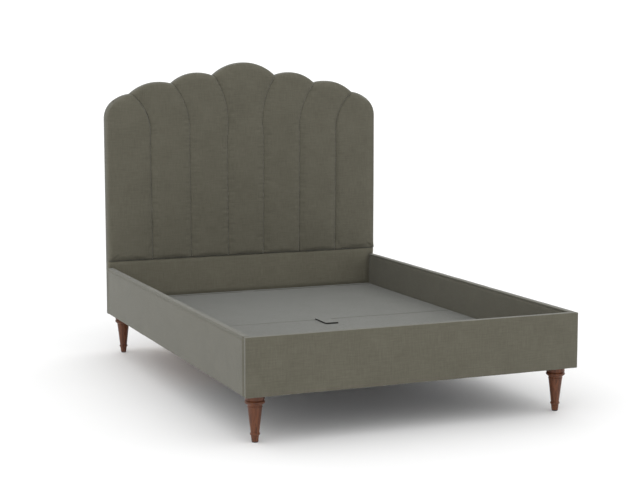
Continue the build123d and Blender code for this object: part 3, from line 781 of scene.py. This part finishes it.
def make_side_cover():
    """Cloth and wadding that wrap the headboard's edge and turn onto its back."""
    outline = headboard_edge()
    normal = inward(outline)
    rings = []
    for inset, behind in SIDE_PROFILE:
        ring = outline + normal * inset * MM
        y = np.full(len(ring), PANEL_FRONT + behind * MM)
        if 1 < inset + behind < 30:
            y += np.array([noise.noise(Vector((p[0] * 8, p[1] * 8, behind))) for p in ring]) * SIDE_WAVE
        rings.append(np.stack([ring[:, 0], y, ring[:, 1]], 1))
    points = np.concatenate(rings)
    faces = grid_faces(len(rings), len(outline), wrap=True)
    replaced = ("headboard_side_cover",)
    # The edge cloth is painted darker: painted shade on the headboard's edge.
    wrap = new_piece("side_cover", points, faces, EDGE_SHADED_CLOTH, "frame", "upholstery", replaced)


make_side_cover()


# ---- Linings and staples -----------------------------------------------------------------------------
LINING_INSET = 9 * MM
STAPLE_INSET = 6 * MM             # the staples' row inside the lining's edge
STAPLE_PITCH = 38 * MM
STAPLE = (10.0 * MM, 1.3 * MM, 0.6 * MM)     # length, width, height
LINING_THICKNESS = 0.8 * MM
LINING_SLACK = 0.5 * MM
DIMPLE = 0.5 * MM                 # depth and reach of the dent at a staple
DIMPLE_REACH = 9 * MM
TOP_OUTLINE = joined(
    top_edge(0)[ARC_POINTS // 2 - 1:], top_edge(1), top_edge(2), top_edge(3), outer_side()[::-1],
)


def top_of(x):
    """Height of the headboard's outline at x."""
    return float(np.interp(abs(x), TOP_OUTLINE[:, 0], TOP_OUTLINE[:, 1]))


def staples(name, places, along, outward, body="frame"):
    """Row of upholstery staples: each a low bridge of flat wire, pressed into the cloth."""
    vertices, faces = [], []
    length, width, height = STAPLE
    section = [(-0.5, 0.0), (-0.5, 0.7), (-0.3, 1.0), (0.3, 1.0), (0.5, 0.7), (0.5, 0.0)]
    ends = [(-0.5, 0.0), (-0.47, 0.75), (-0.42, 1.0), (0.42, 1.0), (0.47, 0.75), (0.5, 0.0)]
    for place, direction, out in zip(places, along, outward):
        across = direction.cross(out)
        start = len(vertices)
        for reach, rise in ends:
            for side, top in section:
                point = place + direction * (reach * length) + across * (side * width)
                vertices.append(point + out * (rise * top * height))
        size = len(section)
        faces += grid_faces(len(ends), size, start, wrap=True)
        last = start + (len(ends) - 1) * size
        faces += [list(range(start, start + size))[::-1], list(range(last, last + size))]
    new_piece(name, vertices, faces, ZINC, body, "steel")


def make_back_lining():
    """Black lining stapled over the turned-in edge cloth, puckered a little at every staple."""
    columns, rows = 121, 91
    half = HALF_WIDTH - LINING_INSET
    width_scale = half / HALF_WIDTH
    outline = headboard_edge()
    points = outline + inward(outline) * (LINING_INSET + STAPLE_INSET)
    gaps = np.linalg.norm(np.diff(points, axis=0, append=points[:1]), axis=1)
    along = np.concatenate([[0.0], np.cumsum(gaps)])
    spots = np.arange(0.0, along[-1] - STAPLE_PITCH / 2, STAPLE_PITCH)
    closed = np.concatenate([points, points[:1]])
    row = np.stack([np.interp(spots, along, closed[:, k]) for k in range(2)], 1)
    xs = half * np.sin(np.linspace(-1, 1, columns) * math.pi / 2)
    face = []
    low = BOTTOM + LINING_INSET
    for t in np.linspace(0, 1, rows):
        for x in xs:
            z = low + (top_of(x / width_scale) - LINING_INSET - low) * t
            near = float(np.min((row[:, 0] - x) ** 2 + (row[:, 1] - z) ** 2))
            dimple = DIMPLE * math.exp(-near / DIMPLE_REACH ** 2)
            slack = (noise.noise(Vector((x * 3, z * 3, 4.0))) - 0.6) * LINING_SLACK
            face.append((x, BACK - 0.1 * MM + slack - dimple, z))
    face = np.array(face)
    inner = face - np.array([0.0, LINING_THICKNESS, 0.0])
    cloth, _ = shell(
        "back_lining", face, inner, rows, columns, LINING, "frame", "lining_cloth",
        ("headboard_back_cover",),
    )
    ahead = np.roll(row, -1, axis=0) - np.roll(row, 1, axis=0)
    places = [Vector((x, BACK - LINING_THICKNESS, z)) for x, z in row]
    directions = [Vector((dx, 0.0, dz)).normalized() for dx, dz in ahead]
    staples("back_staples", places, directions, [Vector((0, 1, 0))] * len(row))


make_back_lining()


UNDER_SAG = 2.5 * MM
UNDER_MARGIN = 2 * MM             # the lining ends this far inside the frame
UNDER_THICKNESS = 0.6 * MM
UNDER_STAPLE_PITCH = 60 * MM


def make_dust_cloth():
    """Lining stapled under the foot half, hanging a little between the timbers."""
    low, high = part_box("dust_cloth")
    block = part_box("corner_block_front_right")
    notch_x, notch_y = block[0].x, block[1].y
    margin, columns = UNDER_MARGIN, 93
    beside_blocks = np.linspace(low.y, notch_y, 6)
    ys = np.concatenate([beside_blocks, np.linspace(notch_y + margin, high.y - margin, 66)])
    face = []
    for y in ys:
        half = (notch_x if y <= notch_y else high.x) - margin
        for x in np.linspace(-half, half, columns):
            across = math.sin(math.pi * min(1.0, abs(x) / notch_x)) ** 2
            along = math.sin(math.pi * (y - low.y) / (high.y - low.y))
            crumple = noise.noise(Vector((x * 9, y * 9, 1.0))) * 0.4 * MM
            face.append((x, y, high.z - 1.3 * MM - UNDER_SAG * across * along + crumple))
    face = np.array(face)
    cloth, _ = shell(
        "under_cloth", face, face + np.array([0.0, 0.0, UNDER_THICKNESS]), len(ys), columns, LINING,
        "frame", "lining_cloth", ("dust_cloth",),
    )
    edge_x, level = high.x - 14 * MM, high.z - 1.6 * MM
    places, directions = [], []
    for y in np.arange(notch_y + 40 * MM, high.y - 40 * MM, UNDER_STAPLE_PITCH):
        for side in (-1, 1):
            places.append(Vector((side * edge_x, y, level)))
            directions.append(Vector((0, 1, 0)))
    for x in np.arange(40 * MM - notch_x, notch_x - 30 * MM, UNDER_STAPLE_PITCH):
        for y in (low.y + 12 * MM, high.y - 12 * MM):
            places.append(Vector((x, y, level)))
            directions.append(Vector((1, 0, 0)))
    staples("under_staples", places, directions, [Vector((0, 0, -1))] * len(places))


make_dust_cloth()


# ---- Rails, deck and lid -----------------------------------------------------------------------------
RAIL_RADIUS = 4 * MM
RAIL_PUFF = 0.6 * MM
WELT_DROP = 10 * MM               # sewn crease under a side rail's top edge
WELT_DEPTH = 2.4 * MM
WELT_WIDTH = 4.5 * MM
JOINT_DEPTH = 3.2 * MM            # rounded-off ends where a side rail meets the foot rail
JOINT_WIDTH = 8 * MM


def make_rails():
    """Tight covers over the rail boards, creased where the side panels' seams run."""
    for word in ("left", "right"):
        node = f"side_rail_{word}_cover"
        low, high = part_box(node)
        creases = [
            (2, high.z - WELT_DROP, WELT_DEPTH, WELT_WIDTH, 0),
            (1, low.y, JOINT_DEPTH, JOINT_WIDTH, 0),
        ]
        rail = soft_box(
            f"rail_{word}", low, high, RAIL_RADIUS, RAIL_PUFF, SIDE_CLOTH, "frame", "upholstery",
            (node,), tucks=creases,
        )
    low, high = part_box("foot_rail_cover")
    rail = soft_box(
        "rail_foot", low, high, RAIL_RADIUS, RAIL_PUFF, FRONT_CLOTH, "frame", "upholstery",
        ("foot_rail_cover",), tucks=[(1, high.y, JOINT_DEPTH, JOINT_WIDTH, 0)],
    )


TURN_UNDER = 38 * MM              # cloth turned onto the underside of a deck board
UNDER_PROUD = 0.4 * MM
DECK_THICKNESS = 1.2 * MM
DECK_RADIUS = 3.5 * MM
DECK_PUFF = 0.5 * MM
DECK_GRID = 20 * MM
DECK_STAPLE_PITCH = 70 * MM
TAB_GRID = 6 * MM


def make_deck_cover(name, node, body, stapled_rear):
    """Cloth over a deck board, turned under its edges and stapled; the board's middle stays bare."""
    low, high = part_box(node)
    cuts = [(axis, low[axis] + TURN_UNDER) for axis in (0, 1)]
    cuts += [(axis, high[axis] - TURN_UNDER) for axis in (0, 1)]
    # The deck cloth's colours are painted sheen.
    cover = soft_box(
        name, low, high, DECK_RADIUS, DECK_PUFF, DECK_PAINTED_SHEEN_CLOTH, body, "deck_cloth", (node,),
        pitch=DECK_GRID, cuts=cuts,
    )
    built = bmesh.new()
    built.from_mesh(cover.data)
    for vertex in built.verts:
        if vertex.co.z < low.z + DECK_THICKNESS:
            vertex.co.z = low.z - UNDER_PROUD
    bare = []
    for face in built.faces:
        middle = face.calc_center_median()
        inside = all(low[a] + TURN_UNDER < middle[a] < high[a] - TURN_UNDER for a in (0, 1))
        if inside and middle.z < low.z:
            bare.append(face)
    bmesh.ops.delete(built, geom=bare, context="FACES")
    built.to_mesh(cover.data)
    built.free()
    cloth = cover.modifiers.new("cloth thickness", "SOLIDIFY")
    cloth.thickness = DECK_THICKNESS
    cloth.offset = -1.0
    inset, level = TURN_UNDER * 0.6, low.z - UNDER_PROUD
    places, directions = [], []
    for x in np.arange(low.x + 60 * MM, high.x - 50 * MM, DECK_STAPLE_PITCH):
        for y in (low.y + inset, high.y - inset):
            if stapled_rear or y < high.y - TURN_UNDER:
                places.append(Vector((x, y, level)))
                directions.append(Vector((1, 0, 0)))
    for y in np.arange(low.y + 70 * MM, high.y - 60 * MM, DECK_STAPLE_PITCH):
        for x in (low.x + inset, high.x - inset):
            places.append(Vector((x, y, level)))
            directions.append(Vector((0, 1, 0)))
    staples(f"{name}_staples", places, directions, [Vector((0, 0, -1))] * len(places), body)


def make_deck():
    """Both deck panels' covers and the strip of cloth on the head rail.

    The lid's rear edge has no staples, because its hinges are there.
    """
    make_deck_cover("deck_foot", "deck_foot_cover", "frame", True)
    make_deck_cover("deck_lid", "lid_cover", "lid", False)
    low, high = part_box("head_rail_cover")
    # The strip's cloth has the deck's painted sheen in its colours.
    strip = soft_box(
        "head_strip", low, high, 1.2 * MM, 0.1 * MM, DECK_PAINTED_SHEEN_CLOTH, "frame", "deck_cloth",
        ("head_rail_cover",), pitch=DECK_GRID,
    )


def make_pull_tab():
    """Doubled strip: deck cloth over a near-black core, rooted in the seam on the lid's edge. Core and
    root are painted shade: near-black solids standing where shade falls under the raised cloth and in the
    seam.
    """
    low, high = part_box("pull_tab")
    deck_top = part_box("deck_foot_cover")[1].z
    core_low = (low.x, low.y, deck_top + 0.5 * MM)
    core_high = (high.x, high.y - 0.4 * MM, high.z - 0.9 * MM)
    core = soft_box(
        "tab_painted_shade_core", core_low, core_high, 0.8 * MM, 0.1 * MM, TAB_PAINTED_SHADE, "lid", "tab_cloth",
        pitch=TAB_GRID,
    )
    cover_low = (low.x, low.y, high.z - 0.9 * MM)
    # The tab's top layer has the deck's painted sheen in its colours.
    cover = soft_box(
        "tab_cover", cover_low, high, 0.4 * MM, 0.1 * MM, DECK_PAINTED_SHEEN_CLOTH, "lid", "tab_cloth",
        ("pull_tab",), pitch=TAB_GRID,
    )
    root_low = (low.x, high.y - 1.5 * MM, low.z)
    root_high = (high.x, high.y, deck_top + 1.0 * MM)
    # The root is painted shade in the seam too.
    root = soft_box(
        "tab_root_painted_shade", root_low, root_high, 0.5 * MM, 0.05 * MM, TAB_PAINTED_SHADE, "lid", "tab_cloth",
        pitch=TAB_GRID,
    )


make_rails()
make_deck()
make_pull_tab()


# ---- Studio ------------------------------------------------------------------------------------------
DOME_STRENGTH = 1.2
FLOOR_SIZE = 60.0
FLOOR_DARK = (0.93, 0.93, 0.93, 1)
FLOOR_LIGHT = (0.955, 0.955, 0.955, 1)


def make_studio():
    """Pale seamless floor under an even white dome, which is the only light."""
    bpy.ops.mesh.primitive_plane_add(size=FLOOR_SIZE, location=(0, 0, 0))
    floor = bpy.context.object
    floor.name = "floor"
    nodes = Nodes("studio_floor")
    position = nodes.add("ShaderNodeTexCoord").outputs["Object"]
    haze = nodes.noise(position, 2.0)
    nodes.surface(Base_Color=nodes.mix(haze, FLOOR_DARK, FLOOR_LIGHT), Roughness=0.9)
    floor.data.materials.append(nodes.material)
    world = bpy.data.worlds.new("studio")
    world.use_nodes = True
    dome = world.node_tree.nodes["Background"]
    dome.inputs["Color"].default_value = (1, 1, 1, 1)
    dome.inputs["Strength"].default_value = DOME_STRENGTH
    bpy.context.scene.world = world
    bpy.context.scene.view_settings.view_transform = "Standard"


make_studio()
